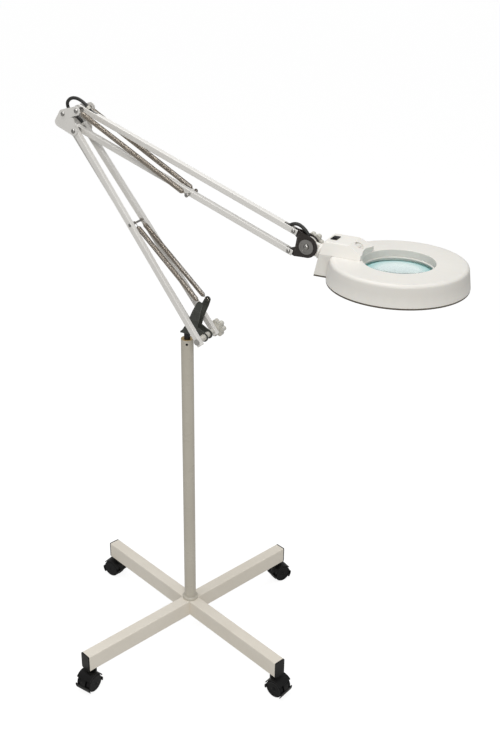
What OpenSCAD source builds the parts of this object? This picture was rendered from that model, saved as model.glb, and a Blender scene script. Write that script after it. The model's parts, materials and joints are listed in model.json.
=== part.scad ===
// Floor-standing magnifying lamp: a cross base on four twin-wheel casters, a tube column, a swivelling
// spring-balanced parallelogram arm and a ring-light head round a magnifying lens.
// The origin is on the floor on the column's axis, +Z is up, and the arm's plane is the XZ plane with
// the head towards +X. Y is across the arm. Millimetres.

/* [Base] */
// Width of the rectangular leg tube
leg_w = 25.4; // [20:0.1:32]
// Height of the rectangular leg tube
leg_h = 38.1; // [30:0.1:45]
// Length from the column's axis to the end of a leg tube
leg_reach = 285; // [260:1:320]
// Height of the leg tubes' underside above the floor
leg_under = 50; // [48:0.5:56]
// Turn of the cross about the column, from the arm's plane
base_turn = -20.3; // [-45:0.1:45]

/* [Column] */
// Outside diameter of the column tube
column_d = 25.4; // [24:0.1:32]
// Height of the column tube's top above the floor
column_top = 724; // [600:1:800]
// Wall of the steel tubes
tube_wall = 1.5; // [1.2:0.1:2]
// Diameter of the arm bracket's spindle
spindle_d = 12.6; // [10:0.1:14]

/* [Casters] */
// Diameter of a caster wheel
wheel_d = 40; // [38:1:42]
// Distance from a caster's stem to its axle
caster_trail = 15; // [14:0.5:18]
// Width over a caster's two wheels
caster_w = 36; // [32:1:38]
// Headings of the four casters: front right, front left, back left, back right
caster_headings = [-13, -97, 173, 59];

/* [Arm] */
// Side of the square arm tubes
bar_s = 11; // [10:0.1:12]
// Wall of the square arm tubes
bar_wall = 1.2; // [1:0.1:1.4]
// Side of the slimmer square tube of the rear link
link_s = 9; // [8:0.1:10]
// Lower arm, from the bracket's axle to the elbow's axle
lower_len = 460.5; // [400:0.5:500]
// Lean of the lower arm, from +X
lower_angle = 125.9; // [100:0.1:133]
// Upper arm, from the elbow's axle to the head bracket
upper_len = 473; // [420:0.5:500]
// Slope of the upper arm, from +X
upper_angle = -20.95; // [-35:0.05:5]
// Half the distance between the two lower bars at the bracket
lower_half_gap = 31.2; // [30.8:0.1:32]
// Half the distance between the two lower bars at the elbow
elbow_half_gap = 17; // [16.5:0.1:17.2]
// Outside diameter of the balance springs
spring_d = 10; // [8:0.5:10]
// Diameter of the cable
cable_d = 6.4; // [5:0.1:6.5]

/* [Head] */
// Outside diameter of the shade at its lower edge
shade_d = 250; // [240:1:260]
// Height of the shade
shade_h = 41; // [40:0.5:44]
// Height of the shade's lower edge above the floor
shade_z = 916.5; // [900:0.5:930]
// Distance of the lens's centre from the column's axis
head_x = 421; // [415:0.5:430]
// Diameter of the lens opening seen from above
lens_open_d = 122.4; // [118:0.1:124]
// Wall of the moulded shells
shell = 2.5; // [2:0.1:3]
// Diameter of the scalloped clamp knobs
knob_d = 36; // [30:1:38]

/* [Hidden] */
$fn = 64;
e = 0.01;                                 // overshoot of a cut
gap = 0.3;                                // room between parts that move past each other
run = 0.05;                               // radial clearance of a running fit

// Derived heights of the base and the column
leg_top = leg_under + leg_h;
foot_h = 7;
column_r = column_d / 2;
spindle_r = spindle_d / 2;
leg_angles = [base_turn, base_turn - 90, base_turn + 180, base_turn + 90];
stem_reach = 268;                         // column's axis to a caster stem
stem_r = 4;
axle_z = wheel_d / 2;
hood_r = axle_z + 3;

// Points of the arm in its own plane, as [x, z]
function polar(a, r) = [r * cos(a), r * sin(a)];
axle_b = [42.7, 739.1];                   // lower bars on the bracket
pivot_p = axle_b + polar(lower_angle, lower_len);            // elbow's shared axle
link_step = polar(lower_angle + 90, 18) + polar(lower_angle, 30);
pivot_a = axle_b + link_step;             // rear link on the bracket
pivot_r = pivot_p + link_step;            // rear link on the elbow
upper_step = [8.7, 38.3];
pivot_t = pivot_p + upper_step;           // top bar on the elbow
pivot_q = pivot_p + polar(upper_angle, upper_len);           // bottom bar on the head bracket
pivot_s = pivot_q + upper_step;           // top bar on the head bracket
guide_p = pivot_p + [-21.6, 30];          // cable guide post of the elbow
tilt_p = pivot_q + [35.7, 14];            // head's tilt bolt
horn_p = axle_b + [-5.2, 69.9];           // lower springs' horns
spring_along = 256.5;                     // spring pin along either arm
lower_pin = axle_b + polar(lower_angle, spring_along) + polar(lower_angle - 90, 2);
upper_pin = pivot_p + polar(upper_angle, spring_along);
splay = asin((lower_half_gap - elbow_half_gap) / lower_len);

// Fasteners of the arm
axle_r = 4;
pin_r = 3;
plate_t = 2;
plate_y = elbow_half_gap + bar_s / 2 + 0.8;                  // inner face of an elbow plate
cheek_y = 8;                                                 // inner face of the bracket's cheeks
horn_y = 15.5;
lower_spring_y = [11.8, horn_y - 2];
upper_spring_y = [18, 16.3];
hook_r = 1;

// Head frame: tilt bolt to neck
twist_angle = -12.7;
twist_reach = 35;
twist_r = 5;
lug_half = 4.9;
cheek_in = 2.3;
cheek_out = 5.2;
cheek_t = 1.8;
shade_r = shade_d / 2;
shade_top = shade_z + shade_h;
rim_h = 3;
lens_ledge = 26.6;
lens_r = 63.5;
lens_open_r = lens_open_d / 2;
neck_top = shade_top + 22;
neck_rear_top = 291;
neck_rear_low = 277;
neck_front_top = 337;
neck_half_low = 35;
neck_half_top = 27;
recess_r = 63.6;
lamp_r = 90.2;
lamp_tube_r = 14.3;
lamp_z = 18.5;
cap_half = 7;                             // half the angle between the ends of the lamp's glass
switch_x = 302;
switch_half = [4.6, 8.8];
slope_angle = atan2(13.5, 25);

// ---- helpers ----

// Square or rectangular section with rounded corners
module rounded_rect(w, h, r) {
    union() {
        square([w - 2 * r, h], center = true);
        square([w, h - 2 * r], center = true);
        for (sx = [-1, 1], sy = [-1, 1])
            translate([sx * (w / 2 - r), sy * (h / 2 - r)]) circle(r);
    }
}

// Hollow rectangular tube along +X from the origin: w across Y, h along Z
module box_tube(len, w, h, wall, r) {
    rotate([90, 0, 90]) linear_extrude(len) difference() {
        rounded_rect(w, h, r);
        rounded_rect(w - 2 * wall, h - 2 * wall, max(r - wall, 0.3));
    }
}

// Something made round the local origin, carried to a point of the arm's plane
module at(p, y = 0) translate([p[0], y, p[1]]) children();

// Rod or hole across the arm, from y0 to y1
module cross_rod(p, y0, y1, r) at(p, y1) rotate([90, 0, 0]) cylinder(y1 - y0, r, r);

// Plate drawn as [x, z] and lying from y0 to y0 + t
module plate(y0, t) translate([0, y0 + t, 0]) rotate([90, 0, 0]) linear_extrude(t) children();

// Disc drawn in a plate
module spot(p, r) translate(p) circle(r);

// Straight limb of a plate, from one disc to another of the same radius
module limb(p, q, r) {
    d = q - p;
    spot(p, r);
    spot(q, r);
    translate(p) rotate(atan2(d[1], d[0])) translate([0, -r]) square([norm(d), 2 * r]);
}

// Local X turned to run up an angle of the arm's plane, from p
module along(p, a, y = 0) at(p, y) rotate([0, -a, 0]) children();

// Rod from one point of space to another
module rod(a, b, r) {
    d = b - a;
    translate(a) rotate([0, acos(d[2] / norm(d)), atan2(d[1], d[0])]) cylinder(norm(d), r, r);
}

// Pose [x, z, heading] at the end of a run [length, turn] that starts at pose p; a turn of 0 is straight
function after(p, run) = abs(run[1]) < 0.01
    ? [p[0] + run[0] * cos(p[2]), p[1] + run[0] * sin(p[2]), p[2]]
    : let (r = run[0] * 180 / PI / run[1], h = p[2] + run[1])
        [p[0] + r * (sin(h) - sin(p[2])), p[1] - r * (cos(h) - cos(p[2])), h];

// Pose at the start of run number i of a route
function pose_at(p, runs, i) = i == 0 ? p : after(pose_at(p, runs, i - 1), runs[i - 1]);

// One round run in the XZ plane from pose p: a part of a torus, a hair short of the next run
module arc_run(p, run, r) {
    bend = run[0] * 180 / PI / abs(run[1]);
    at(p) rotate([0, -p[2], 0]) mirror([0, 0, run[1] < 0 ? 1 : 0]) translate([0, 0, bend])
        rotate([90, 90, 0]) rotate_extrude(angle = abs(run[1]) * (1 - 0.03 / run[0]))
            translate([bend, 0]) circle(r);
}

// Round cable of several runs
module route(p, runs, r) for (i = [0 : len(runs) - 1]) arc_run(pose_at(p, runs, i), runs[i], r);

// Domed screw head, standing towards +Y or -Y (side 1 or -1) from the face at y
module dome_head(p, y, side, r, h) {
    at(p, y) rotate([-90 * side, 0, 0]) rotate_extrude() intersection() {
        translate([0, h - (r * r + h * h) / (2 * h)]) circle((r * r + h * h) / (2 * h));
        square([r, h]);
    }
}

// ---- base ----

// Rectangular leg tube from the column's axis line outwards
module leg_run(a, from, to) {
    rotate([0, 0, a]) translate([from, 0, leg_under + leg_h / 2])
        box_tube(to - from, leg_w, leg_h, tube_wall, 2.4);
}

module stem_holes() {
    for (a = leg_angles) rotate([0, 0, a]) translate([stem_reach, 0, leg_under - 1])
        cylinder(tube_wall + 2, stem_r, stem_r);
}

module leg_tube_through() color("#f2ead8") difference() {
    leg_run(base_turn, -leg_reach, leg_reach);
    stem_holes();
    translate([0, 0, leg_under - 1]) cylinder(leg_h + 2, 4.25, 4.25);
}

module leg_tube_halves() color("#f2ead8") difference() {
    for (i = [1, 3]) leg_run(leg_angles[i], leg_w / 2, leg_reach);
    stem_holes();
}

module leg_end_caps() color("#1c1c1c") for (a = leg_angles)
    rotate([0, 0, a]) translate([leg_reach, 0, leg_under + leg_h / 2]) {
        rotate([90, 0, 90]) linear_extrude(2.8) rounded_rect(leg_w, leg_h, 2.4);
        translate([-8, 0, 0]) box_tube(8, leg_w - 2 * tube_wall, leg_h - 2 * tube_wall, 2, 1);
    }

module column_tube() color("#e6ddc8") difference() {
    translate([0, 0, leg_top + foot_h]) difference() {
        cylinder(column_top - leg_top - foot_h, column_r, column_r);
        translate([0, 0, -1]) cylinder(column_top, column_r - tube_wall, column_r - tube_wall);
    }
    set_screw_hole(2.5);
}

// Turned foot: a collar under the column and a spigot inside it
module column_foot() color("#ded5c0") translate([0, 0, leg_top]) difference() {
    rotate_extrude() polygon([[0, 0], [17.5, 0], [17.5, 4.5], [15, foot_h], [column_r - tube_wall, foot_h],
        [column_r - tube_wall, 38], [column_r - tube_wall - 2, 40], [0, 40]]);
    translate([0, 0, -e]) cylinder(26, 4, 4);
}

// Hexagon bolt and washer that hold the column down from underneath
module base_bolt() color("#b9b9b9") translate([0, 0, leg_under]) {
    translate([0, 0, -7.3]) cylinder(5.5, 7.5, 7.5, $fn = 6);
    translate([0, 0, -1.8]) cylinder(1.8, 10, 10);
    translate([0, 0, -e]) cylinder(leg_h + 20, 4, 4);
}

module set_screw_hole(r) rotate([0, 0, -64]) translate([0, 0, column_top - 8]) rotate([0, 90, 0])
    cylinder(column_r + 2, r, r);

// Blind bush in the column's top, with a thin flange on the rim
module column_bush() color("#d8b978") difference() {
    translate([0, 0, column_top - 54]) rotate_extrude() polygon([[0, 0], [column_r - tube_wall, 0],
        [column_r - tube_wall, 54], [column_r - 0.5, 54], [column_r - 0.5, 55.2], [0, 55.2]]);
    translate([0, 0, column_top - 51]) cylinder(60, spindle_r + run, spindle_r + run);
    set_screw_hole(2.5);
}

// Grub screw through the column's wall into the spindle's groove
module set_screw() color("#4a4a4a") rotate([0, 0, -64])
    translate([spindle_r - 0.9, 0, column_top - 8]) rotate([0, 90, 0]) difference() {
        cylinder(7.3, 2.5, 2.5);
        translate([0, 0, 5]) cylinder(3, 1.4, 1.4, $fn = 6);
    }

// Threaded caster stems with their collars and nuts, four alike
module caster_stems() color("#9a9a9a") for (a = leg_angles)
    rotate([0, 0, a]) translate([stem_reach, 0, 0]) {
        translate([0, 0, 28]) cylinder(leg_under - 28 + 12, stem_r, stem_r);
        translate([0, 0, leg_under - 2]) cylinder(2, 8, 8);
        translate([0, 0, leg_under + tube_wall]) cylinder(6.5, 7.3, 7.3, $fn = 6);
    }

// Caster i's own frame: the stem on Z, the axle towards +X
module caster_frame(i) rotate([0, 0, leg_angles[i]]) translate([stem_reach, 0, 0])
    rotate([0, 0, caster_headings[i] - leg_angles[i]]) children();

// Hood of a twin-wheel caster: a web between the wheels and an arched guard over both
module caster_hood(i) color("#171717") caster_frame(i) difference() {
    union() {
        translate([caster_trail, 0, axle_z]) rotate([90, 0, 0]) {
            translate([0, 0, -caster_w / 2]) linear_extrude(caster_w) difference() {
                circle(hood_r);
                circle(hood_r - 2);
                translate([0, -40]) square([80, 80], center = true);
                translate([0, -14]) square([60, 28.4]);
                translate([-60, -8]) square([60, 16]);
            }
            translate([0, 0, -caster_w / 2]) linear_extrude(caster_w) intersection() {
                difference() {
                    circle(hood_r);
                    circle(hood_r - 2);
                }
                union() {
                    translate([0, -13.5]) square([60, 14]);
                    translate([-60, -6.5]) square([60, 7]);
                }
            }
            translate([0, 0, -6.6]) linear_extrude(13.2) intersection() {
                circle(hood_r - 1);
                translate([-30, -13]) square([60, 60]);
            }
        }
        translate([0, 0, 24]) cylinder(leg_under - 2 - gap - 24, 6.8, 6.8);
    }
    translate([0, 0, 20]) cylinder(40, stem_r + run, stem_r + run);
    translate([caster_trail, 20, axle_z]) rotate([90, 0, 0]) cylinder(40, 3 + run, 3 + run);
}

// Two wheels pressed on one axle
module caster_wheels(i) color("#202020") caster_frame(i) translate([caster_trail, 0, axle_z])
    rotate([90, 0, 0]) {
        translate([0, 0, -caster_w / 2 + 1]) cylinder(caster_w - 2, 3, 3);
        for (side = [-1, 1]) translate([0, 0, side * 12.4]) rotate_extrude()
            polygon([[2.9, -5], [17.5, -5], [19.2, -4], [axle_z, -2.6], [axle_z, 2.6], [19.2, 4],
                [17.5, 5], [14.5, 5 - 1.2 * max(side, 0)], [6, 5 - 1.2 * max(side, 0)], [2.9, 5]]);
    }

// ---- arm bracket ----

module bracket_outline() {
    spot(axle_b, 9.2);
    spot(pivot_a, 10);
    spot(horn_p, 6.2);
    polygon([pivot_a + [-9.5, 3], horn_p + [-6, 1.5], horn_p + [5.8, -2], [34.6, 781], [28.5, 757.5],
        axle_b + [2, 9], axle_b + [2, -9], axle_b + [-8, -4.6], [8, 739], [-10, 739]]);
}

// Pressed bracket: a web on the spindle and two cheeks that flare out to the springs' horns
module arm_bracket() color("#40433c") difference() {
    union() {
        for (side = [-1, 1]) mirror([0, side < 0 ? 1 : 0, 0]) intersection() {
            plate(0, 30) bracket_outline();
            translate([-40, 0, 0]) rotate([90, 0, 90]) linear_extrude(120) polygon([[cheek_y, 720],
                [cheek_y + 2, 720], [cheek_y + 2, 770], [horn_y + 2, 795], [horn_y + 2, 830],
                [horn_y, 830], [horn_y, 796], [cheek_y, 771]]);
        }
        translate([-10, -cheek_y - 2, 739]) cube([18, 2 * cheek_y + 4, 3]);
        for (side = [-1, 1]) mirror([0, side < 0 ? 1 : 0, 0]) {
            cross_rod(horn_p, horn_y - 4.2, horn_y + 1, 2);
            cross_rod(horn_p, horn_y - 5, horn_y - 4.1, 3);
        }
    }
    cross_rod(axle_b, -40, 40, axle_r);
    cross_rod(pivot_a, -40, 40, pin_r);
    translate([0, 0, 730]) cylinder(20, spindle_r, spindle_r);
}

// Spindle with a retaining groove, riveted over on the web
module bracket_spindle() color("#2b2b2b") translate([0, 0, column_top - 50.7]) difference() {
    union() {
        cylinder(742 - column_top + 50.7, spindle_r, spindle_r);
        translate([0, 0, 742 - column_top + 50.7]) cylinder(1.4, spindle_r + 1.2, spindle_r - 1);
    }
    translate([0, 0, 39.2]) difference() {
        cylinder(7, 20, 20);
        translate([0, 0, -1]) cylinder(9, spindle_r - 1.2, spindle_r - 1.2);
    }
}

// Through bolt of the lower arm: flat head on the near side, thread for the knob on the far side
module lower_axle() color("#b8b4aa") {
    cross_rod(axle_b, -lower_half_gap - 7.6, 46, axle_r);
    cross_rod(axle_b, -lower_half_gap - 7.6, -lower_half_gap - 6.2, 6);
}

// Three plastic rollers that space the cheeks and the bars along the bolt
module axle_rollers() color("#cfccc0") {
    for (side = [-1, 1]) mirror([0, side < 0 ? 1 : 0, 0]) roller(cheek_y + 2, lower_half_gap - 6.2);
    roller(-cheek_y, cheek_y);
}

module roller(y0, y1) difference() {
    union() {
        cross_rod(axle_b, y0, y1, 5.6);
        cross_rod(axle_b, y0, y0 + 3, 6.6);
    }
    cross_rod(axle_b, y0 - 1, y1 + 1, axle_r);
}

module rear_link_pin() color("#b0b0b0") {
    cross_rod(pivot_a, -cheek_y - 2, cheek_y + 2, pin_r);
    for (side = [-1, 1]) dome_head(pivot_a, side * (cheek_y + 2), side, 4.4, 2);
    for (side = [-1, 1]) mirror([0, side < 0 ? 1 : 0, 0]) difference() {
        cross_rod(pivot_a, link_s / 2 + gap, cheek_y, 5);
        cross_rod(pivot_a, 0, 20, pin_r - e);
    }
}

// Scalloped clamp knob on a stud across the arm: hub from y0, lobes above it
module clamp_knob(p, y0, hub, bore) difference() {
    at(p, y0) rotate([-90, 0, 0]) {
        cylinder(hub, 8.5, 8.5);
        translate([0, 0, hub - 0.5]) linear_extrude(10.5) union() {
            circle(knob_d / 2 - 4.2);
            for (k = [0 : 6]) rotate(k * 360 / 7) translate([knob_d / 2 - 5, 0]) circle(5);
        }
        translate([0, 0, hub + 9.9]) cylinder(1.6, 9, 7.5);
    }
    cross_rod(p, y0 - 1, y0 + hub + 6, bore);
}

module lower_knob() color("#c9c7bb") clamp_knob(axle_b, lower_half_gap + 6.5, 3.4, axle_r + run);

// ---- lower arm ----

// One lower bar on side -1 (near) or 1 (far): open at both ends and splayed towards the bracket
module lower_bar(side) color("#f4f2ec") difference() {
    along(axle_b, lower_angle, side * lower_half_gap) rotate([0, 0, -side * splay])
        translate([-10, 0, 0]) box_tube(lower_len + 20, bar_s, bar_s, bar_wall, 1.3);
    cross_rod(axle_b, -60, 60, axle_r + run);
    cross_rod(pivot_p, -60, 60, pin_r + run);
    cross_rod(lower_pin, -60, 60, 2);
}
module lower_bar_near() lower_bar(-1);
module lower_bar_far() lower_bar(1);

// Rod across the lower bars that holds the springs' upper hooks
module lower_spring_pin() color("#c4c4c4") {
    y = lower_half_gap - spring_along * tan(splay);
    cross_rod(lower_pin, -y - bar_s / 2 - 0.6, y - bar_s / 2 + bar_wall + 0.1, 2);
    dome_head(lower_pin, -y - bar_s / 2 - 0.4, -1, 3.4, 1.4);
}

module rear_link() color("#f4f2ec") difference() {
    along(pivot_a, lower_angle) translate([-6.5, 0, 0])
        box_tube(lower_len + 13, link_s, link_s, 1.1, 1.1);
    cross_rod(pivot_a, -20, 20, pin_r + run);
    cross_rod(pivot_r, -20, 20, pin_r + run);
}

// Balance spring between two pins, with a wire eye at each end; the first eye's radius is given
module balance_spring(p, q, yp, yq, lead, eye) {
    a = [p[0], yp, p[1]];
    b = [q[0], yq, q[1]];
    u = (b - a) / norm(b - a);
    rod(a + lead * u, b - lead * u, spring_d / 2);
    rod(a + (eye + 0.4) * u, a + (lead + 1) * u, hook_r);
    rod(b - 3.6 * u, b - (lead + 1) * u, hook_r);
    translate(a) rotate([90, 0, 0]) rotate_extrude() translate([eye, 0]) circle(hook_r);
    translate(b) rotate([90, 0, 0]) rotate_extrude() translate([3.2, 0]) circle(hook_r);
}

module lower_springs() color("#b6aa98") for (side = [-1, 1])
    balance_spring(lower_pin, horn_p, side * lower_spring_y[0], side * lower_spring_y[1], 10, 3.2);

module upper_springs() color("#b6aa98") for (side = [-1, 1])
    balance_spring(pivot_t, upper_pin, side * upper_spring_y[0], side * upper_spring_y[1], 10, 4.3);

// ---- elbow ----

module elbow_outline() {
    limb(pivot_p, guide_p, 8.5);
    limb(guide_p, pivot_t, 8.5);
    limb(pivot_p, pivot_r, 8.5);
    limb(pivot_r, guide_p, 8.5);
    polygon([pivot_p, pivot_r, guide_p]);
    polygon([guide_p, guide_p + [24, -6], pivot_p + [5.5, 10], pivot_p]);
}

module elbow_plate(y0) color("#f7f6f2") difference() {
    plate(y0, plate_t) elbow_outline();
    for (p = [pivot_p, pivot_r, pivot_t, guide_p]) cross_rod(p, -40, 40, pin_r);
}
module elbow_plate_near() elbow_plate(-plate_y - plate_t);
module elbow_plate_far() elbow_plate(plate_y);

// Pin through both elbow plates with a domed head outside each
module elbow_pin(p, r) {
    cross_rod(p, -plate_y - plate_t, plate_y + plate_t, pin_r);
    for (side = [-1, 1]) dome_head(p, side * (plate_y + plate_t), side, r, 3);
}

// Sleeves on a pin, mirrored to both sides
module sleeves(p, y0, y1, r) for (side = [-1, 1]) mirror([0, side < 0 ? 1 : 0, 0]) difference() {
    cross_rod(p, y0, y1, r);
    cross_rod(p, 0, 50, pin_r - e);
}

// Shared axle in two pieces, so that the cable has room between them in the far lower bar
module elbow_axle() color("#8e8c86") {
    cross_rod(pivot_p, -plate_y - plate_t, elbow_half_gap - bar_s / 2 + bar_wall + 0.1, pin_r);
    cross_rod(pivot_p, elbow_half_gap + bar_s / 2 - bar_wall - 0.8, plate_y + plate_t, pin_r);
    for (side = [-1, 1]) dome_head(pivot_p, side * (plate_y + plate_t), side, 4.5, 3);
    sleeves(pivot_p, bar_s / 2 + gap, elbow_half_gap - bar_s / 2 - 0.6, 5);
}

// Two alike posts: the top bar's pin, and the post that the cable runs round
module elbow_posts() color("#8e8c86") {
    elbow_pin(pivot_t, 4.5);
    elbow_pin(guide_p, 4.5);
    sleeves(pivot_t, bar_s / 2 + gap, upper_spring_y[0] - 3, 4.6);
}

// Flush rivet that carries the rear link
module rear_link_top_pin() color("#f0efea") {
    cross_rod(pivot_r, -plate_y - plate_t, plate_y + plate_t, pin_r);
    sleeves(pivot_r, link_s / 2 + gap, link_s / 2 + 4, 4.6);
}

// ---- upper arm ----

// Square bar of the upper arm, open at both ends
module upper_bar(p, back, front) along(p, upper_angle) translate([-back, 0, 0])
    box_tube(back + upper_len + front, bar_s, bar_s, bar_wall, 1.3);

// Slot in a bar's walls, from one distance along it to another; walls 1 top, -1 bottom, 0 both
module bar_slot(p, from, to, walls) along(p, upper_angle)
    translate([from, -bar_s / 2 + bar_wall, walls > 0 ? 2 : -bar_s])
        cube([to - from, bar_s - 2 * bar_wall, walls == 0 ? 2 * bar_s : bar_s - 2]);

module upper_bottom_bar() color("#f4f2ec") difference() {
    upper_bar(pivot_p, 9, 8);
    bar_slot(pivot_p, upper_len - 7, upper_len + 9, 0);
    cross_rod(pivot_p, -20, 20, pin_r + run);
    cross_rod(pivot_q, -20, 20, 2 + run);
    cross_rod(upper_pin, -20, 20, 2);
}

module upper_spring_pin() color("#c4c4c4") {
    cross_rod(upper_pin, -upper_spring_y[1] - 2.4, upper_spring_y[1] + 2.4, 2);
    for (side = [-1, 1]) dome_head(upper_pin, side * (upper_spring_y[1] + 2.2), side, 4, 1.6);
}

module upper_top_bar() color("#f4f2ec") difference() {
    upper_bar(pivot_t, 10, 7);
    bar_slot(pivot_t, upper_len - 7, upper_len + 9, 0);
    bar_slot(pivot_t, upper_len - 22, upper_len + 9, 1);
    bar_slot(pivot_t, 5.5, 31, 1);
    elbow_plane() bush_body(4.12);
    cross_rod(pivot_t, -20, 20, pin_r + run);
    cross_rod(pivot_s, -20, 20, 2 + run);
}

// Collar of the cable where it leaves the rear slot of the top bar
module cable_bush() color("#e9dcb6") elbow_plane() difference() {
    bush_body(4.1);
    arc_run(pose_at(elbow_start, elbow_runs, 1), elbow_runs[1], cable_d / 2 + 0.01);
}

module bush_body(r) {
    turn = elbow_runs[1][1] / elbow_runs[1][0];
    arc_run(after(pose_at(elbow_start, elbow_runs, 1), [0.5, 0.5 * turn]), [6, 6 * turn], r);
}

// ---- head bracket ----

module head_bracket_outline() {
    spot(tilt_p, 20.5);
    spot(pivot_q, 4.1);
    spot(pivot_s, 4.1);
    polygon([pivot_s + [-0.5, 4.1], pivot_s + [9.5, 3.3], tilt_p + [4, 20.1], tilt_p + [4, -20.1],
        pivot_q + [9.5, -7], pivot_q + [-0.5, -4.1], pivot_q + [0.5, 4.1], pivot_q + [12.5, 8.5],
        pivot_s + [6.5, -11], pivot_s + [-0.5, -4.1]]);
}

// Two pressed cheeks: close together inside the bars' ends, wider apart round the lug
module head_bracket() color("#2e2724") for (side = [-1, 1]) mirror([0, side < 0 ? 1 : 0, 0])
    difference() {
        intersection() {
            plate(0, 12) head_bracket_outline();
            at(tilt_p - [22.1, 0]) rotate([0, 12.5, 0]) translate([0, 0, -60]) linear_extrude(120)
                polygon([[-40, cheek_in], [0, cheek_in], [4.3, cheek_out], [60, cheek_out],
                    [60, cheek_out + cheek_t], [3.4, cheek_out + cheek_t], [-0.8, cheek_in + cheek_t],
                    [-40, cheek_in + cheek_t]]);
        }
        cross_rod(pivot_q, -20, 20, 2);
        cross_rod(pivot_s, -20, 20, 2);
        cross_rod(tilt_p, -20, 20, axle_r);
    }

// Two alike screws: the bars' ends turn on them
module bracket_screws() color("#9c978c") for (p = [pivot_q, pivot_s]) {
    cross_rod(p, -bar_s / 2 - 0.4, bar_s / 2 + 0.4, 2);
    dome_head(p, -bar_s / 2 - 0.3, -1, 4, 3);
    at(p, bar_s / 2 + 3.3) rotate([90, 0, 0]) cylinder(3, 3.8, 3.8, $fn = 6);
}

// Domed coach bolt with its broad washer
module tilt_bolt() color("#8f8f8d") {
    dome_head(tilt_p, -cheek_out - cheek_t - 2, -1, 5.2, 3.4);
    difference() {
        cross_rod(tilt_p, -cheek_out - cheek_t - 2, -cheek_out - cheek_t, 13.8);
        cross_rod(tilt_p, -cheek_out - cheek_t - 3, -cheek_out - cheek_t - 1.2, 10.5);
    }
    cross_rod(tilt_p, -cheek_out - cheek_t - 2, 28, axle_r);
}

module head_knob() color("#e4e2da") clamp_knob(tilt_p, cheek_out + cheek_t + 0.4, 15, axle_r + run);

// Local X along the neck from the tilt bolt
module neck_frame() along(tilt_p, twist_angle) children();

// Lug between the cheeks: a disc on the tilt bolt, a flange and the hollow stud that enters the neck
module head_lug() color("#eceae3") difference() {
    union() {
        plate(-lug_half, 2 * lug_half) {
            spot(tilt_p, 17.2);
            translate(tilt_p) rotate(twist_angle) translate([0, -11.5]) square([25, 23]);
        }
        neck_frame() rotate([0, 90, 0]) {
            translate([0, 0, 24]) cylinder(4, 14, 14);
            translate([0, 0, 28]) cylinder(twist_reach - gap - 28, 9, 9);
            translate([0, 0, twist_reach - gap]) cylinder(13.8, twist_r, twist_r);
            translate([0, 0, twist_reach + shell + gap]) cylinder(4, 8, 8, $fn = 6);
        }
    }
    cross_rod(tilt_p, -20, 20, axle_r + run);
    neck_frame() translate([12.5, 0, 0]) rotate([0, 90, 0]) cylinder(50, 3, 3);
    translate([lug_entry[0], 0, lug_entry[1]]) rotate([0, 90 - lug_entry[2], 0])
        translate([0, 0, -8]) cylinder(29, 3.6, 3.6);
}

// ---- head ----

module head_round() translate([head_x, 0, shade_z]) children();

// Outline of the neck seen from the side, grown outwards by g
module neck_side(z0, z1, g = 0) {
    lean = (neck_rear_top - neck_rear_low) / (neck_top - shade_z);
    x0 = neck_rear_low + (z0 - shade_z) * lean - g;
    x1 = neck_rear_low + (z1 - shade_z) * lean - g;
    polygon([[x0, z0], [x1, z1], [380, z1], [380, z0]]);
}

// Solid ring section of the shade, from the inner wall to the outer skin
module shade_section() polygon([[shade_r - 0.4, rim_h], [119.8, 35.5], [118.9, 37.8], [117.2, 39.6],
    [114.9, 40.7], [112, shade_h], [63.8, shade_h], [63, shade_h - 0.8], [62.5, lens_ledge + 0.2],
    [lens_open_r, lens_ledge], [lens_open_r, lens_ledge - 2], [lens_r + 0.2, lens_ledge - 2],
    [lens_r + 0.2, 12], [lens_r + 2.6, 12], [lens_r + 2.6, shade_h - shell], [112, shade_h - shell],
    [114.4, 37.4], [116, 36.4], [117.2, 34.6], [shade_r - 2.9, rim_h]]);

// Solid of the lower neck box, before it is hollowed
module neck_box(g) intersection() {
    plate(-neck_half_low - g, 2 * (neck_half_low + g)) neck_side(shade_z + rim_h, shade_top, g);
    translate([200, -60, 900]) cube([130, 120, 120]);
}

// Ring-shaped shade with the lower half of the neck moulded on
module shade() color("#edece6") difference() {
    union() {
        head_round() rotate_extrude($fn = 96) shade_section();
        difference() {
            neck_box(0);
            neck_box(-shell);
            head_round() cylinder(shade_h + 1, shade_r - 1, 117);
        }
        lamp_clip_posts();
    }
    neck_frame() translate([30, 0, 0]) rotate([0, 90, 0]) cylinder(12, twist_r + run, twist_r + run);
    starter_cut(11);
}

// Two moulded hooks that hold the lamp tube up against the shade
module lamp_clip_posts() for (a = [-70, 70]) head_round() rotate([0, 0, a]) difference() {
    translate([lamp_r - 17.5, -5, lamp_z - 8]) cube([35, 10, shade_h - lamp_z + 6.5]);
    rotate_extrude($fn = 96) translate([lamp_r, lamp_z]) circle(lamp_tube_r + 0.3);
    translate([lamp_r - 9, -6, lamp_z - 20]) cube([18, 12, 20]);
}

// Dark edging under the shade and the neck
module shade_rim() color("#5e584c") difference() {
    union() {
        head_round() difference() {
            cylinder(rim_h, shade_r - 0.8, shade_r - 0.4);
            translate([0, 0, -1]) cylinder(rim_h + 2, shade_r - 5, shade_r - 5);
        }
        difference() {
            intersection() {
                plate(-neck_half_low + 0.4, 2 * neck_half_low - 0.8)
                    neck_side(shade_z, shade_z + rim_h, -0.4);
                translate([200, -60, 900]) cube([110, 120, 120]);
            }
            translate([neck_rear_low + 4, -neck_half_low + 4, 900]) cube([60, 2 * neck_half_low - 8, 60]);
            head_round() translate([0, 0, -1]) cylinder(rim_h + 2, shade_r - 1, shade_r - 1);
        }
    }
}

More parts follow.
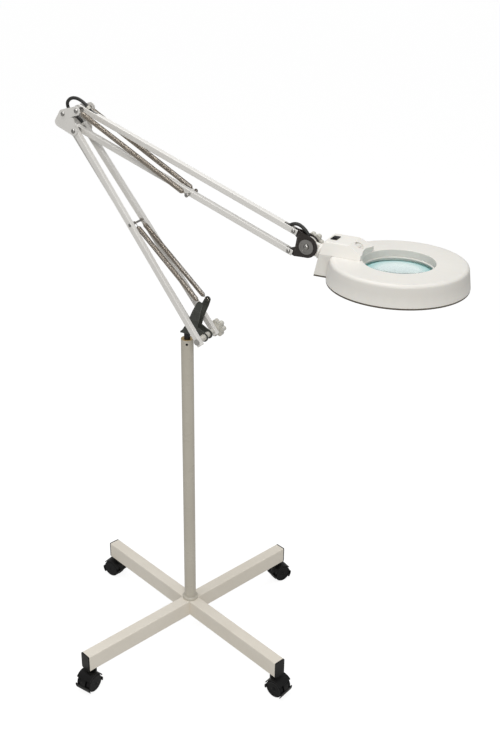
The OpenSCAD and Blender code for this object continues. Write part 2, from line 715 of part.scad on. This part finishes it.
// Tapered block of the neck's cover, shrunk by g on every face but the bottom one
module cover_block(g) intersection() {
    translate([0, neck_half_low, 0]) rotate([90, 0, 0]) linear_extrude(2 * neck_half_low) polygon([
        [neck_rear_low + shade_h * 14 / 63 + g, shade_top - (g > 0 ? 1 : 0)],
        [neck_rear_top + g, neck_top - g], [neck_front_top - g / 2, neck_top - g],
        [362 - g, neck_top - 13.5 - g * 1.2], [362 - g, shade_top - (g > 0 ? 1 : 0)]]);
    translate([270, 0, 0]) rotate([90, 0, 90]) linear_extrude(110) polygon([
        [-neck_half_low + g, shade_top - 2], [-neck_half_low + g, shade_top + 1],
        [-neck_half_top + g, neck_top - 1 - g], [-neck_half_top + 1 + g, neck_top - g],
        [neck_half_top - 1 - g, neck_top - g], [neck_half_top - g, neck_top - 1 - g],
        [neck_half_low - g, shade_top + 1], [neck_half_low - g, shade_top - 2]]);
}

module recess_cut(r) head_round() cylinder(80, r, r);

module neck_cover() color("#efeee8") difference() {
    cover_block(0);
    difference() {
        cover_block(shell);
        recess_cut(recess_r + shell);
    }
    recess_cut(recess_r);
    translate([switch_x - switch_half[0], -switch_half[1], neck_top - 10])
        cube([2 * switch_half[0], 2 * switch_half[1], 20]);
    starter_cut(9.4);
    for (side = [-1, 1]) translate([347, side * (neck_half_low - 5), shade_top - 1]) cylinder(10, 1.8, 1.8);
}

// Starter's own frame: square to the cover's front slope
module starter_frame() translate([(neck_front_top + 362) / 2 - 2, 0, neck_top - 6])
    rotate([0, slope_angle, 0]) children();

module starter_cut(r) starter_frame() translate([0, 0, -26]) cylinder(36, r, r);

module starter() color("#f3f3ef") starter_frame() difference() {
    union() {
        translate([0, 0, -22]) cylinder(20.5, 8.9, 8.9);
        for (side = [-1, 1]) translate([0, side * 3.3, -1.6]) cylinder(1.6, 2.6, 2.6);
    }
    translate([0, 0, -3]) difference() {
        cylinder(2, 8, 8);
        translate([0, 0, -1]) cylinder(4, 6.8, 6.8);
    }
}

module neck_base_plate() color("#d6d3ca") intersection() {
    difference() {
        neck_box(-shell - 0.2);
        head_round() cylinder(shade_h, shade_r + 0.6, shade_r + 0.6);
    }
    translate([200, -60, shade_z + rim_h]) cube([200, 120, 2]);
}

// Two alike screws that hold the cover down
module cover_screws() color("#3c3c3c") for (side = [-1, 1])
    translate([347, side * (neck_half_low - 5), shade_top + 2.2]) {
        translate([0, 0, -2.2]) cylinder(2.2, 1.7, 1.7);
        cylinder(0.8, 1.7, 1.7);
    }

// Biconvex magnifying lens with a flat edge band
module lens() color("#9fd6d2", 0.5) head_round() translate([0, 0, lens_ledge - 2 - 4.4]) {
    edge = 1.6;
    bulge = 5.6;
    ball = (lens_r * lens_r + bulge * bulge) / (2 * bulge);
    rotate_extrude($fn = 96) intersection() {
        square([lens_r, 40], center = false);
        union() {
            square([lens_r, edge]);
            intersection() {
                translate([0, edge + bulge - ball]) circle(ball, $fn = 360);
                translate([0, edge]) square([lens_r, bulge]);
            }
        }
    }
    rotate_extrude($fn = 96) intersection() {
        translate([0, ball - bulge]) circle(ball, $fn = 360);
        translate([0, -bulge]) square([lens_r, bulge]);
    }
}

// Ring that holds the lens up against the ledge
module lens_ring() color("#dddbd3") head_round() rotate_extrude($fn = 96)
    polygon([[60.5, 12], [lens_r + 0.2, 12], [lens_r + 0.2, 18.2], [62.6, 18.2], [60.5, 15]]);

// Circular fluorescent lamp: a glass tube with its two ends in the cap at the neck side
module lamp_tube() color("#fbfbf6") head_round() rotate([0, 0, -180 + cap_half]) difference() {
    rotate_extrude(angle = 360 - 2 * cap_half, $fn = 96) translate([lamp_r, lamp_z]) circle(lamp_tube_r);
    rotate([0, 0, -1]) rotate_extrude(angle = 362 - 2 * cap_half, $fn = 96)
        translate([lamp_r, lamp_z]) circle(lamp_tube_r - 1);
}

// Moulded lampholder, and the lamp's cap that clips into it
module lamp_holder() color("#f0efe9") head_round() {
    difference() {
        translate([-lamp_r - 16.2, -13, lamp_z - 4]) cube([32.4, 26, shade_h - shell - lamp_z + 3.9]);
        rotate_extrude($fn = 96) translate([lamp_r, lamp_z]) circle(lamp_tube_r + 1.23);
        translate([-head_x, 0, -shade_z]) starter_cut(11.2);
    }
    difference() {
        rotate([0, 0, 180 - 2 * cap_half]) rotate_extrude(angle = 4 * cap_half, $fn = 96)
            translate([lamp_r, lamp_z]) circle(lamp_tube_r + 1.2);
        for (from = [180 + cap_half, 140 - cap_half]) rotate([0, 0, from])
            rotate_extrude(angle = 40, $fn = 96) translate([lamp_r, lamp_z]) circle(lamp_tube_r);
    }
}

module switch_housing() color("#191919") difference() {
    union() {
        translate([switch_x - switch_half[0] - 1.3, -switch_half[1] - 1.3, neck_top])
            cube([2 * switch_half[0] + 2.6, 2 * switch_half[1] + 2.6, 1.3]);
        translate([switch_x - switch_half[0], -switch_half[1], neck_top - 14])
            cube([2 * switch_half[0], 2 * switch_half[1], 14.1]);
    }
    translate([switch_x - 3.2, -7.3, neck_top - 10]) cube([6.4, 14.6, 20]);
    translate(rocker_p - [4.3, 0, 0]) rotate([0, 90, 0]) cylinder(8.6, 1.25, 1.25);
}

// Rocker on its pin, tipped to one side at rest
rocker_p = [switch_x, 0, neck_top - 2.5];
module rocker() color("#26262b") translate(rocker_p) {
    rotate([-8, 0, 0]) rotate([0, -90, 0]) translate([0, 0, -2.8]) linear_extrude(5.6)
        polygon([[5.2, -6.45], [3.6, 0], [5.2, 6.45], [1, 6.75], [-4.6, 1.6], [-4.6, -1.6], [1, -6.75]]);
    translate([-4.2, 0, 0]) rotate([0, 90, 0]) cylinder(8.4, 1.2, 1.2);
}

module ballast() color("#c9c9c4") translate([neck_rear_low + 8, -26, shade_z + rim_h + 2])
    cube([11, 52, 15]);

// ---- cable ----

// Point of a bar: s along it from its pivot, up off its middle
function in_bar(p, a, s, up) = p + polar(a, s) + polar(a + 90, up);

// The loop at the elbow lies in a leaning plane, from the top bar's slot to the far lower bar's end
cable_r = cable_d / 2;
cable_up = bar_s / 2 - bar_wall - cable_r;
elbow_lean = 21.5;
elbow_start = [0, 0, 160.6];
elbow_runs = [[14, -34.7], [68.7, 97.1], [32.1, 124], [18.7, -24.2], [10.2, -17.6]];
head_start = [each in_bar(pivot_s, upper_angle, -22, cable_up), upper_angle];
head_runs = [[14.3, 51.8], [18.8, -58.1], [24, -36.5]];

lug_entry = pose_at(head_start, head_runs, 3);

module elbow_plane() at(in_bar(pivot_t, upper_angle, 26, cable_up), -cable_up)
    rotate([0, -135, 0]) rotate([-elbow_lean, 0, 0]) rotate([0, 135, 0]) children();

module cable_head_loop() color("#2a2a28") route(head_start, head_runs, cable_r);
module cable_top_bar() color("#2a2a28")
    along(in_bar(pivot_t, upper_angle, 27, cable_up - 0.02), upper_angle, -0.5)
        rotate([0, 90, 0]) cylinder(upper_len - 49.1, cable_r, cable_r);
module cable_elbow() color("#2a2a28") elbow_plane() route(elbow_start, elbow_runs, cable_r);
module cable_lower() color("#2a2a28")
    along(axle_b, lower_angle, lower_half_gap) rotate([0, 0, -splay]) translate([30, 0.1, cable_up])
        rotate([0, 90, 0]) cylinder(lower_len - 22.5, cable_r, cable_r);

leg_tube_through();
leg_tube_halves();
leg_end_caps();
column_tube();
column_foot();
base_bolt();
column_bush();
set_screw();
caster_stems();
caster_hood(0);  // caster_hood_front_right
caster_hood(1);  // caster_hood_front_left
caster_hood(2);  // caster_hood_back_left
caster_hood(3);  // caster_hood_back_right
caster_wheels(0);  // caster_wheels_front_right
caster_wheels(1);  // caster_wheels_front_left
caster_wheels(2);  // caster_wheels_back_left
caster_wheels(3);  // caster_wheels_back_right
arm_bracket();
bracket_spindle();
lower_axle();
axle_rollers();
rear_link_pin();
lower_knob();
lower_bar_near();
lower_bar_far();
lower_spring_pin();
rear_link();
lower_springs();
upper_springs();
elbow_plate_near();
elbow_plate_far();
elbow_axle();
elbow_posts();
rear_link_top_pin();
upper_bottom_bar();
upper_spring_pin();
upper_top_bar();
cable_bush();
head_bracket();
bracket_screws();
tilt_bolt();
head_knob();
head_lug();
shade();
shade_rim();
neck_cover();
neck_base_plate();
cover_screws();
lens();
lens_ring();
lamp_tube();
lamp_holder();
starter();
switch_housing();
rocker();
ballast();
cable_head_loop();
cable_top_bar();
cable_elbow();
cable_lower();
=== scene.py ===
"""A floor-standing magnifying lamp's looks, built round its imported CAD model.

Metres, in the CAD's own frame: the origin is on the floor under the column, and +X runs along
the arm to the head.
"""

import bmesh
import bpy
import json
import math
from mathutils import Matrix, Vector


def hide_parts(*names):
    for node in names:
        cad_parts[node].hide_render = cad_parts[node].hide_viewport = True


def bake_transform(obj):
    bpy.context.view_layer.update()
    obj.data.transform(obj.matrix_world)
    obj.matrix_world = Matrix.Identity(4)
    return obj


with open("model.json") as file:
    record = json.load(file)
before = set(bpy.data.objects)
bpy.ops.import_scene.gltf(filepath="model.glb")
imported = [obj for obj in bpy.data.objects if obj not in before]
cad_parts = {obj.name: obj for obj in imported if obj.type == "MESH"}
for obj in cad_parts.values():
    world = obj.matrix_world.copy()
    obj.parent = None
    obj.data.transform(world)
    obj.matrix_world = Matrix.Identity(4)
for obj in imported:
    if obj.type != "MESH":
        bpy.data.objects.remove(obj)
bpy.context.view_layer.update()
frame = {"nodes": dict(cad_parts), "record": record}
NODES = frame["nodes"]


# ---- geometry shared with the CAD, in metres ----

def polar(angle, r):
    """Step of length r in the arm's plane, at an angle in degrees up from +X."""
    return Vector((r * math.cos(math.radians(angle)), 0, r * math.sin(math.radians(angle))))


LOWER_LEN, LOWER_ANGLE = 0.4605, 125.9
UPPER_LEN, UPPER_ANGLE = 0.473, -20.95
PIVOT_RISE = Vector((0.0087, 0, 0.0383))     # from a bottom bar's pivot to the top bar's
LOWER_AXLE = Vector((0.0427, 0, 0.7391))     # lower arm on the bracket
ELBOW_LOW = LOWER_AXLE + polar(LOWER_ANGLE, LOWER_LEN)
ELBOW_TOP = ELBOW_LOW + PIVOT_RISE
HEAD_TOP = ELBOW_LOW + polar(UPPER_ANGLE, UPPER_LEN) + PIVOT_RISE
PIN_ALONG = 0.2565                           # springs' pins, along each arm
LOWER_PIN = LOWER_AXLE + polar(LOWER_ANGLE, PIN_ALONG) + polar(LOWER_ANGLE - 90, 0.002)
UPPER_PIN = ELBOW_LOW + polar(UPPER_ANGLE, PIN_ALONG)
HORN = LOWER_AXLE + Vector((-0.0052, 0, 0.0699))
LENS_CENTRE = Vector((0.421, 0, 0.9165))
CABLE_R = 0.0032
BAR, BAR_WALL = 0.011, 0.0012
CABLE_UP = BAR / 2 - BAR_WALL - CABLE_R      # a bar's cable lies against the wall above it


# ---- camera: the photograph's own viewpoint ----

CAMERA_PLACE = Vector((0.9106, -1.5860, 1.5295))
CAMERA_AIM = Vector((-0.3934, 0.8095, -0.4358))
CAMERA_ROLL = -1.0276
CAMERA_LENS, CAMERA_FRAME = 48.2472, (24, 36)     # mm


def camera():
    """The scene's camera, rolled about its own line of sight."""
    forward = CAMERA_AIM.normalized()
    right = forward.cross(Vector((0, 0, 1))).normalized()
    up = right.cross(forward)
    r = math.radians(CAMERA_ROLL)
    x = math.cos(r) * right - math.sin(r) * up
    y = math.sin(r) * right + math.cos(r) * up
    data = bpy.data.cameras.new("camera")
    data.sensor_fit = "VERTICAL"
    data.sensor_width, data.sensor_height = CAMERA_FRAME
    data.lens = CAMERA_LENS
    cam = bpy.data.objects.new("camera", data)
    m = Matrix((x, y, -forward)).transposed().to_4x4()
    m.translation = CAMERA_PLACE
    cam.matrix_world = m
    bpy.context.scene.collection.objects.link(cam)
    bpy.context.scene.camera = cam


camera()


# ---- materials ----

class Graph:
    """A small helper for a material's nodes."""

    def __init__(self, name):
        self.mat = bpy.data.materials.new(name)
        self.mat.use_nodes = True
        self.tree = self.mat.node_tree
        self.bsdf = self.tree.nodes["Principled BSDF"]
        self.coord = self.node("ShaderNodeTexCoord").outputs["Object"]

    def node(self, kind, **inputs):
        n = self.tree.nodes.new(kind)
        for key, value in inputs.items():
            self.put(n, key, value)
        return n

    def put(self, n, key, value):
        """Link or set one input: by name, or by number as i0, i1 and so on."""
        socket = n.inputs[int(key[1:])] if key[0] == "i" and key[1:].isdigit() else n.inputs[key]
        if isinstance(value, bpy.types.NodeSocket):
            self.tree.links.new(value, socket)
        else:
            socket.default_value = value

    def noise(self, scale, detail=3.0, rough=0.5, stretch=None):
        """Noise in the object's metres; scale is in features per metre."""
        vector = self.coord
        if stretch:
            m = self.node("ShaderNodeMapping", Vector=self.coord, Scale=stretch)
            vector = m.outputs["Vector"]
        return self.node("ShaderNodeTexNoise", Vector=vector, Scale=scale, Detail=detail,
                         Roughness=rough).outputs["Fac"]

    def ramp(self, fac, low, high, x0=0.3, x1=0.7):
        """fac from x0 to x1, stretched to run from low to high."""
        n = self.node("ShaderNodeMapRange", Value=fac)
        n.inputs["From Min"].default_value = x0
        n.inputs["From Max"].default_value = x1
        n.inputs["To Min"].default_value = low
        n.inputs["To Max"].default_value = high
        return n.outputs["Result"]

    def mix(self, fac, a, b):
        """Colour a where fac is 0 and b where it is 1."""
        n = self.tree.nodes.new("ShaderNodeMix")
        n.data_type = "RGBA"
        self.put(n, "i0", fac)
        for socket, value in ((n.inputs[6], a), (n.inputs[7], b)):
            if isinstance(value, bpy.types.NodeSocket):
                self.tree.links.new(value, socket)
            else:
                socket.default_value = (*value, 1)
        return n.outputs[2]

    def eased(self, radius=0.0004):
        """A normal that rounds the sharp edges over."""
        n = self.node("ShaderNodeBevel")
        n.samples = 4
        n.inputs["Radius"].default_value = radius
        return n.outputs["Normal"]

    def bump(self, height, distance, strength=1.0, normal=None):
        """A normal roughened by height, which is distance metres deep."""
        n = self.node("ShaderNodeBump", Height=height)
        n.inputs["Distance"].default_value = distance
        n.inputs["Strength"].default_value = strength
        if normal:
            self.put(n, "Normal", normal)
        return n.outputs["Normal"]

    def math(self, operation, a, b):
        """One step of arithmetic, by Blender's name for it."""
        n = self.node("ShaderNodeMath", i0=a, i1=b)
        n.operation = operation
        return n.outputs[0]

    def set(self, **values):
        """Inputs of the Principled shader, with _ for each space."""
        for key, value in values.items():
            self.put(self.bsdf, key.replace("_", " "), value)


def edge_wear(g, low=0.515, high=0.56):
    """0 on flats and 1 on sharp outer edges."""
    point = g.node("ShaderNodeNewGeometry").outputs["Pointiness"]
    return g.ramp(point, 0.0, 1.0, low, high)


def enamel(name, colour, shade, rough=0.32, grain=0.00006, wear=0.25):
    """Sprayed enamel: a faint orange peel, slight tone changes, thinner on the edges."""
    g = Graph(name)
    tone = g.noise(7.0, 4.0, 0.6)
    base = g.mix(g.ramp(tone, 0.0, 1.0, 0.35, 0.65), colour, shade)
    dust = g.noise(420.0, 2.0, 0.5)
    base = g.mix(g.ramp(dust, 0.0, 0.06, 0.66, 0.72), base, tuple(c * 0.6 for c in colour))
    edge = g.math("MULTIPLY", edge_wear(g), wear)
    base = g.mix(edge, base, tuple(min(1, c * 1.12 + 0.02) for c in shade))
    peel = g.noise(950.0, 2.0, 0.4)
    smudge = g.noise(34.0, 5.0, 0.62)
    g.set(Base_Color=base, Roughness=g.ramp(smudge, rough - 0.05, rough + 0.10),
          Normal=g.bump(peel, grain, 0.6, g.eased()))
    g.bsdf.inputs["Coat Weight"].default_value = 0.12
    g.bsdf.inputs["Coat Roughness"].default_value = 0.2
    return g.mat


def plastic(name, colour, shade, rough=0.38, grain=0.00005, sub=0.0, scale=1500.0, sheen=0.5):
    """Moulded plastic: a fine spark-eroded grain and slow tone changes."""
    g = Graph(name)
    g.bsdf.inputs["Specular IOR Level"].default_value = sheen
    tone = g.noise(9.0, 4.0, 0.55)
    base = g.mix(g.ramp(tone, 0.0, 1.0, 0.35, 0.65), colour, shade)
    edge = g.math("MULTIPLY", edge_wear(g), 0.3)
    base = g.mix(edge, base, tuple(min(1, c * 1.25 + 0.004) for c in colour))
    grit = g.noise(scale, 2.0, 0.55)
    smudge = g.noise(26.0, 5.0, 0.6)
    g.set(Base_Color=base, Roughness=g.ramp(smudge, rough - 0.05, rough + 0.09),
          Normal=g.bump(grit, grain, 0.7, g.eased(0.0006)))
    if sub:
        g.bsdf.inputs["Subsurface Weight"].default_value = sub
        g.bsdf.inputs["Subsurface Radius"].default_value = (0.004, 0.003, 0.002)
    return g.mat


def steel(name, colour, rough=0.3, stretch=(1, 1, 1), grain=0.00003, metal=1.0):
    """Plated or turned metal with fine marks and dull patches."""
    g = Graph(name)
    marks = g.noise(900.0, 3.0, 0.6, stretch)
    patch = g.noise(60.0, 5.0, 0.65)
    base = g.mix(g.ramp(patch, 0.0, 1.0, 0.3, 0.75), colour, tuple(c * 0.8 for c in colour))
    g.set(Base_Color=base, Roughness=g.ramp(patch, rough - 0.08, rough + 0.14),
          Normal=g.bump(marks, grain, 0.7))
    g.bsdf.inputs["Metallic"].default_value = metal
    return g.mat


def rubber(name, colour, rough=0.62, grain=0.00008, scale=1300.0, sheen=0.5):
    """Matt rubber with a fine grain and a little dust."""
    g = Graph(name)
    g.bsdf.inputs["Specular IOR Level"].default_value = sheen
    dust = g.noise(30.0, 5.0, 0.65)
    dusty = tuple(c * 1.7 + 0.004 for c in colour)
    base = g.mix(g.ramp(dust, 0.0, 1.0, 0.45, 0.8), colour, dusty)
    g.set(Base_Color=base, Roughness=g.ramp(dust, rough - 0.06, rough + 0.12),
          Normal=g.bump(g.noise(scale, 2.0, 0.6), grain, 0.8))
    return g.mat


def lens_glass():
    """Clear glass that darkens to green-blue towards its rim."""
    g = Graph("lens_glass")
    from_axis = g.node("ShaderNodeVectorMath", i0=g.coord, i1=tuple(LENS_CENTRE))
    from_axis.operation = "SUBTRACT"
    flat = g.node("ShaderNodeVectorMath", i0=from_axis.outputs[0], i1=(1, 1, 0))
    flat.operation = "MULTIPLY"
    radius = g.node("ShaderNodeVectorMath", i0=flat.outputs[0])
    radius.operation = "LENGTH"
    near_rim = g.ramp(radius.outputs["Value"], 0.0, 1.0, 0.034, 0.056)
    g.set(Base_Color=g.mix(near_rim, (0.80, 0.93, 0.92), (0.30, 0.62, 0.62)))
    g.bsdf.inputs["Transmission Weight"].default_value = 1.0
    g.bsdf.inputs["IOR"].default_value = 1.5
    g.set(Roughness=g.ramp(g.noise(40.0, 4.0, 0.6), 0.0, 0.035, 0.45, 0.8))
    return g.mat


def lamp_glass():
    """Phosphor-coated glass: a milky skin with a soft powder grain."""
    g = Graph("lamp_glass")
    grain = g.noise(700.0, 2.0, 0.5)
    patch = g.ramp(g.noise(16.0, 3.0, 0.5), 0.0, 1.0)
    g.set(Base_Color=g.mix(patch, (0.93, 0.93, 0.91), (0.88, 0.89, 0.88)),
          Roughness=g.ramp(grain, 0.16, 0.24), Normal=g.bump(grain, 0.00001, 0.3))
    g.bsdf.inputs["Coat Weight"].default_value = 0.8
    g.bsdf.inputs["Coat Roughness"].default_value = 0.05
    return g.mat


MATS = {
    "leg_paint": enamel("leg_paint", (0.86, 0.81, 0.72), (0.79, 0.735, 0.64), 0.34),
    # column_paint is the legs' cream darkened to about seven tenths: painted shade on the upright
    # column
    "column_paint": enamel("column_paint", (0.60, 0.565, 0.485), (0.53, 0.495, 0.42), 0.28),
    "arm_paint": enamel("arm_paint", (0.80, 0.785, 0.755), (0.76, 0.745, 0.715), 0.30),
    "bracket_paint": enamel("bracket_paint", (0.052, 0.056, 0.047), (0.043, 0.047, 0.039), 0.36),
    "head_bracket_paint": enamel("head_bracket_paint", (0.022, 0.016, 0.0135),
                                 (0.017, 0.012, 0.010), 0.24),
    "black_plastic": plastic("black_plastic", (0.006, 0.006, 0.006),
                             (0.009, 0.009, 0.009), 0.36, sheen=0.22),
    "wheel_black": rubber("wheel_black", (0.004, 0.004, 0.0045), 0.4, sheen=0.2),
    "zinc": steel("zinc", (0.40, 0.39, 0.375), 0.24),
    "brass": steel("brass", (0.72, 0.53, 0.26), 0.3, (1, 1, 14)),
    "blackened_steel": steel("blackened_steel", (0.035, 0.034, 0.034), 0.36, metal=0.6),
    "axle_steel": steel("axle_steel", (0.56, 0.55, 0.53), 0.28),
    "pale_plastic": plastic("pale_plastic", (0.60, 0.585, 0.53), (0.56, 0.545, 0.49), 0.42, sub=0.05),
    "spring_wire": steel("spring_wire", (0.52, 0.465, 0.40), 0.27),
    "head_plastic": plastic("head_plastic", (0.80, 0.78, 0.735), (0.775, 0.755, 0.71), 0.36, sub=0.06),
    # rim_plastic is a dark brown band under the head's lower edge, where the shell's edge lies in
    # shade: painted shade
    "rim_plastic": plastic("rim_plastic", (0.105, 0.088, 0.066), (0.09, 0.075, 0.056), 0.45),
    "lens_glass": lens_glass(),
    "lamp_glass": lamp_glass(),
    "rocker_plastic": plastic("rocker_plastic", (0.008, 0.008, 0.0095),
                              (0.012, 0.012, 0.014), 0.25, scale=600.0, sheen=0.35),
    "ballast_steel": steel("ballast_steel", (0.42, 0.42, 0.41), 0.38, (1, 40, 1)),
    "cable_rubber": rubber("cable_rubber", (0.020, 0.020, 0.0185), 0.5),
}
SLOT = {s["node"]: s["material_slot"] for s in frame["record"]["subparts"]}


def dress(obj, slot):
    """Give a Blender piece its slot's material."""
    obj.data.materials.clear()
    obj.data.materials.append(MATS[slot])


for name, obj in NODES.items():
    obj.data.materials.clear()
    obj.data.materials.append(MATS[SLOT[name]])


# ---- mesh helpers ----

def new_object(name, verts, faces, slot):
    """A smooth-shaded mesh object in its slot's material."""
    mesh = bpy.data.meshes.new(name)
    mesh.from_pydata([tuple(v) for v in verts], [], faces)
    mesh.update()
    obj = bpy.data.objects.new(name, mesh)
    bpy.context.scene.collection.objects.link(obj)
    for p in mesh.polygons:
        p.use_smooth = True
    dress(obj, slot)
    return obj


def sweep(path, radius, sides):
    """Closed round tube along a list of points, as vertices and faces."""
    verts, faces = [], []
    normal = None
    for i, p in enumerate(path):
        ahead = path[min(i + 1, len(path) - 1)] - path[max(i - 1, 0)]
        t = ahead.normalized()
        if normal is None:
            ref = Vector((0, 1, 0)) if abs(t.y) < 0.9 else Vector((1, 0, 0))
            normal = (ref - t * ref.dot(t)).normalized()
        else:
            normal = (normal - t * normal.dot(t)).normalized()
        side = t.cross(normal)
        for k in range(sides):
            a = 2 * math.pi * k / sides
            verts.append(p + radius * (math.cos(a) * normal + math.sin(a) * side))
    for i in range(len(path) - 1):
        for k in range(sides):
            a, b = i * sides + k, i * sides + (k + 1) % sides
            faces.append((a, b, b + sides, a + sides))
    faces.append(tuple(reversed(range(sides))))
    faces.append(tuple(range(len(verts) - sides, len(verts))))
    return verts, faces


def join_parts(parts):
    """Several (vertices, faces) as one."""
    verts, faces = [], []
    for v, f in parts:
        base = len(verts)
        verts += v
        faces += [tuple(base + i for i in face) for face in f]
    return verts, faces


# ---- balance springs: real coils with their hooks ----

WIRE_R, COIL_R = 0.0007, 0.0043
HOOK = 0.0085                  # from a pin's middle to the first coil
FAR_EYE = 0.0031               # eye at a spring's second pin
PER_TURN, PER_EYE = 14, 14     # steps of the wire's path


def eye_turns():
    """Angles round an open eye."""
    return [math.radians(-150 + 300 * k / PER_EYE) for k in range(PER_EYE + 1)]


def spring_path(a, b, turns, eye):
    """Centreline of a closely wound spring from pin a to pin b with an eye round each."""
    u = (b - a).normalized()
    side = Vector((0, 1, 0))
    side = (side - u * side.dot(u)).normalized()
    other = u.cross(side)
    path = [a + eye * (-math.cos(s) * u + math.sin(s) * other) for s in eye_turns()]
    length = (b - a).length - 2 * HOOK
    for k in range(turns * PER_TURN + 1):
        share = k / (turns * PER_TURN)
        s = 2 * math.pi * k / PER_TURN + math.pi / 2
        from_end = 0.3 * turns * min(share, 1 - share)     # the end coils close in on the hooks
        r = COIL_R * min(1.0, 0.35 + from_end)
        path.append(a + u * (HOOK + length * share) + r * (math.cos(s) * side + math.sin(s) * other))
    path += [b + FAR_EYE * (math.cos(s) * u + math.sin(s) * other) for s in eye_turns()]
    return path


def springs(name, ends, turns, node, eye):
    """A pair of springs in place of the CAD's node.

    ends holds the two pin points of the near spring and of the far spring.
    """
    parts = [sweep(spring_path(a, b, turns, eye), WIRE_R, 7) for a, b in ends]
    verts, faces = join_parts(parts)
    obj = new_object(name, verts, faces, "spring_wire")
    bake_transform(obj)
    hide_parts(node)


def pair(a, a_out, b, b_out):
    """Ends of a near and a far spring, each a set distance out from the arm's plane."""
    return [(Vector((a.x, s * a_out, a.z)), Vector((b.x, s * b_out, b.z))) for s in (-1, 1)]


springs("lower_spring_coils", pair(LOWER_PIN, 0.0118, HORN, 0.0135), 112,
        "lower_springs", 0.0031)
springs("upper_spring_coils", pair(ELBOW_TOP, 0.018, UPPER_PIN, 0.0163), 150,
        "upper_springs", 0.0042)


# ---- cables, on the CAD's own arcs ----

def after(pose, run):
    """Where an arc of (length, turn) ends, from a pose of (x, z, heading)."""
    x, z, h = pose
    r = run[0] / math.radians(run[1])
    g = h + run[1]
    return (x + r * (math.sin(math.radians(g)) - math.sin(math.radians(h))),
            z - r * (math.cos(math.radians(g)) - math.cos(math.radians(h))), g)


def arcs(pose, runs, per=14):
    """Points along a chain of arcs."""
    out = [(pose[0], pose[1])]
    for length, turn in runs:
        for k in range(1, per + 1):
            out.append(after(pose, (length * k / per, turn * k / per))[:2])
        pose = after(pose, (length, turn))
    return out


def in_bar(p, angle, s, up):
    """Point of a bar: s along it from its pivot, up off its middle."""
    return p + polar(angle, s) + polar(angle + 90, up)


def cable(name, path):
    """A length of the cable along a path."""
    return new_object(name, *sweep(path, CABLE_R, 20), "cable_rubber")


ELBOW_START = in_bar(ELBOW_TOP, UPPER_ANGLE, 0.026, CABLE_UP) - Vector((0, CABLE_UP, 0))
ELBOW_HEADING = 160.6
ELBOW_LEAN = Matrix.Rotation(math.radians(-21.5), 3, Vector((-1, 0, 1)).normalized())
ELBOW_RUNS = [(0.0140, -34.7), (0.0687, 97.1), (0.0321, 124), (0.0187, -24.2), (0.0102, -17.6)]
HEAD_START = in_bar(HEAD_TOP, UPPER_ANGLE, -0.022, CABLE_UP)
HEAD_RUNS = [(0.0143, 51.8), (0.0188, -58.1), (0.0240, -36.5)]

elbow_flat = arcs((0, 0, ELBOW_HEADING), ELBOW_RUNS)
elbow_path = [ELBOW_START + ELBOW_LEAN @ Vector((x, 0, z)) for x, z in elbow_flat]
head_flat = arcs((HEAD_START.x, HEAD_START.z, UPPER_ANGLE), HEAD_RUNS)
head_path = [Vector((x, 0, z)) for x, z in head_flat]

# The elbow's loop crosses two joints, so it is two pieces that meet over the elbow.
cut = 34     # the path's point where they meet
near_half = cable("elbow_cable_upper", elbow_path[:cut + 1])
far_half = cable("elbow_cable_lower", elbow_path[cut:])
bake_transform(near_half)
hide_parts("cable_elbow")
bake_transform(far_half)
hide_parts("cable_elbow")
loop = cable("head_cable_loop", head_path)
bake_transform(loop)
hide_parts("cable_head_loop")


# ---- stage and light ----

FILL = 0.42     # the world's light on the lamp; the camera itself sees plain white


def surroundings():
    """Even white light, and a plain white background for the camera."""
    world = bpy.data.worlds.new("world")
    bpy.context.scene.world = world
    world.use_nodes = True
    tree = world.node_tree
    fill = tree.nodes["Background"]
    fill.inputs["Color"].default_value = (1, 1, 1, 1)
    fill.inputs["Strength"].default_value = FILL
    backdrop = tree.nodes.new("ShaderNodeBackground")
    backdrop.inputs["Color"].default_value = (1, 1, 1, 1)
    either = tree.nodes.new("ShaderNodeMixShader")
    tree.links.new(tree.nodes.new("ShaderNodeLightPath").outputs["Is Camera Ray"], either.inputs[0])
    tree.links.new(fill.outputs[0], either.inputs[1])
    tree.links.new(backdrop.outputs[0], either.inputs[2])
    tree.links.new(either.outputs[0], tree.nodes["World Output"].inputs["Surface"])
    bpy.context.scene.view_settings.view_transform = "Standard"


def floor():
    """A white floor that throws little light back up at the lamp."""
    bm = bmesh.new()
    bmesh.ops.create_grid(bm, x_segments=1, y_segments=1, size=40)
    mesh = bpy.data.meshes.new("floor")
    bm.to_mesh(mesh)
    bm.free()
    obj = bpy.data.objects.new("floor", mesh)
    g = Graph("floor")
    path = g.node("ShaderNodeLightPath").outputs
    seen = g.math("MAXIMUM", path["Is Camera Ray"], path["Is Transmission Ray"])
    g.set(Base_Color=g.mix(seen, (0.5, 0.495, 0.48), (0.22, 0.22, 0.22)))
    g.set(Emission_Strength=g.ramp(seen, 0.12, 0.88, 0.0, 1.0))
    g.bsdf.inputs["Roughness"].default_value = 0.9
    g.bsdf.inputs["Emission Color"].default_value = (1, 1, 1, 1)
    obj.data.materials.append(g.mat)
    bpy.context.scene.collection.objects.link(obj)


def light(name, place, aim, size, power, colour=(1, 1, 1)):
    """A round area light turned to its aim."""
    data = bpy.data.lights.new(name, "AREA")
    data.shape = "DISK"
    data.size = size
    data.energy = power
    data.color = colour
    obj = bpy.data.objects.new(name, data)
    obj.location = place
    obj.rotation_mode = "QUATERNION"
    obj.rotation_quaternion = (Vector(aim) - Vector(place)).to_track_quat("-Z", "Y")
    bpy.context.scene.collection.objects.link(obj)


surroundings()
floor()
light("key", (1.5, -2.2, 2.6), (0, 0, 0.7), 1.0, 30, (1.0, 0.985, 0.96))
light("top", (-0.2, -0.2, 3.4), (0.1, 0, 0.7), 1.4, 34)
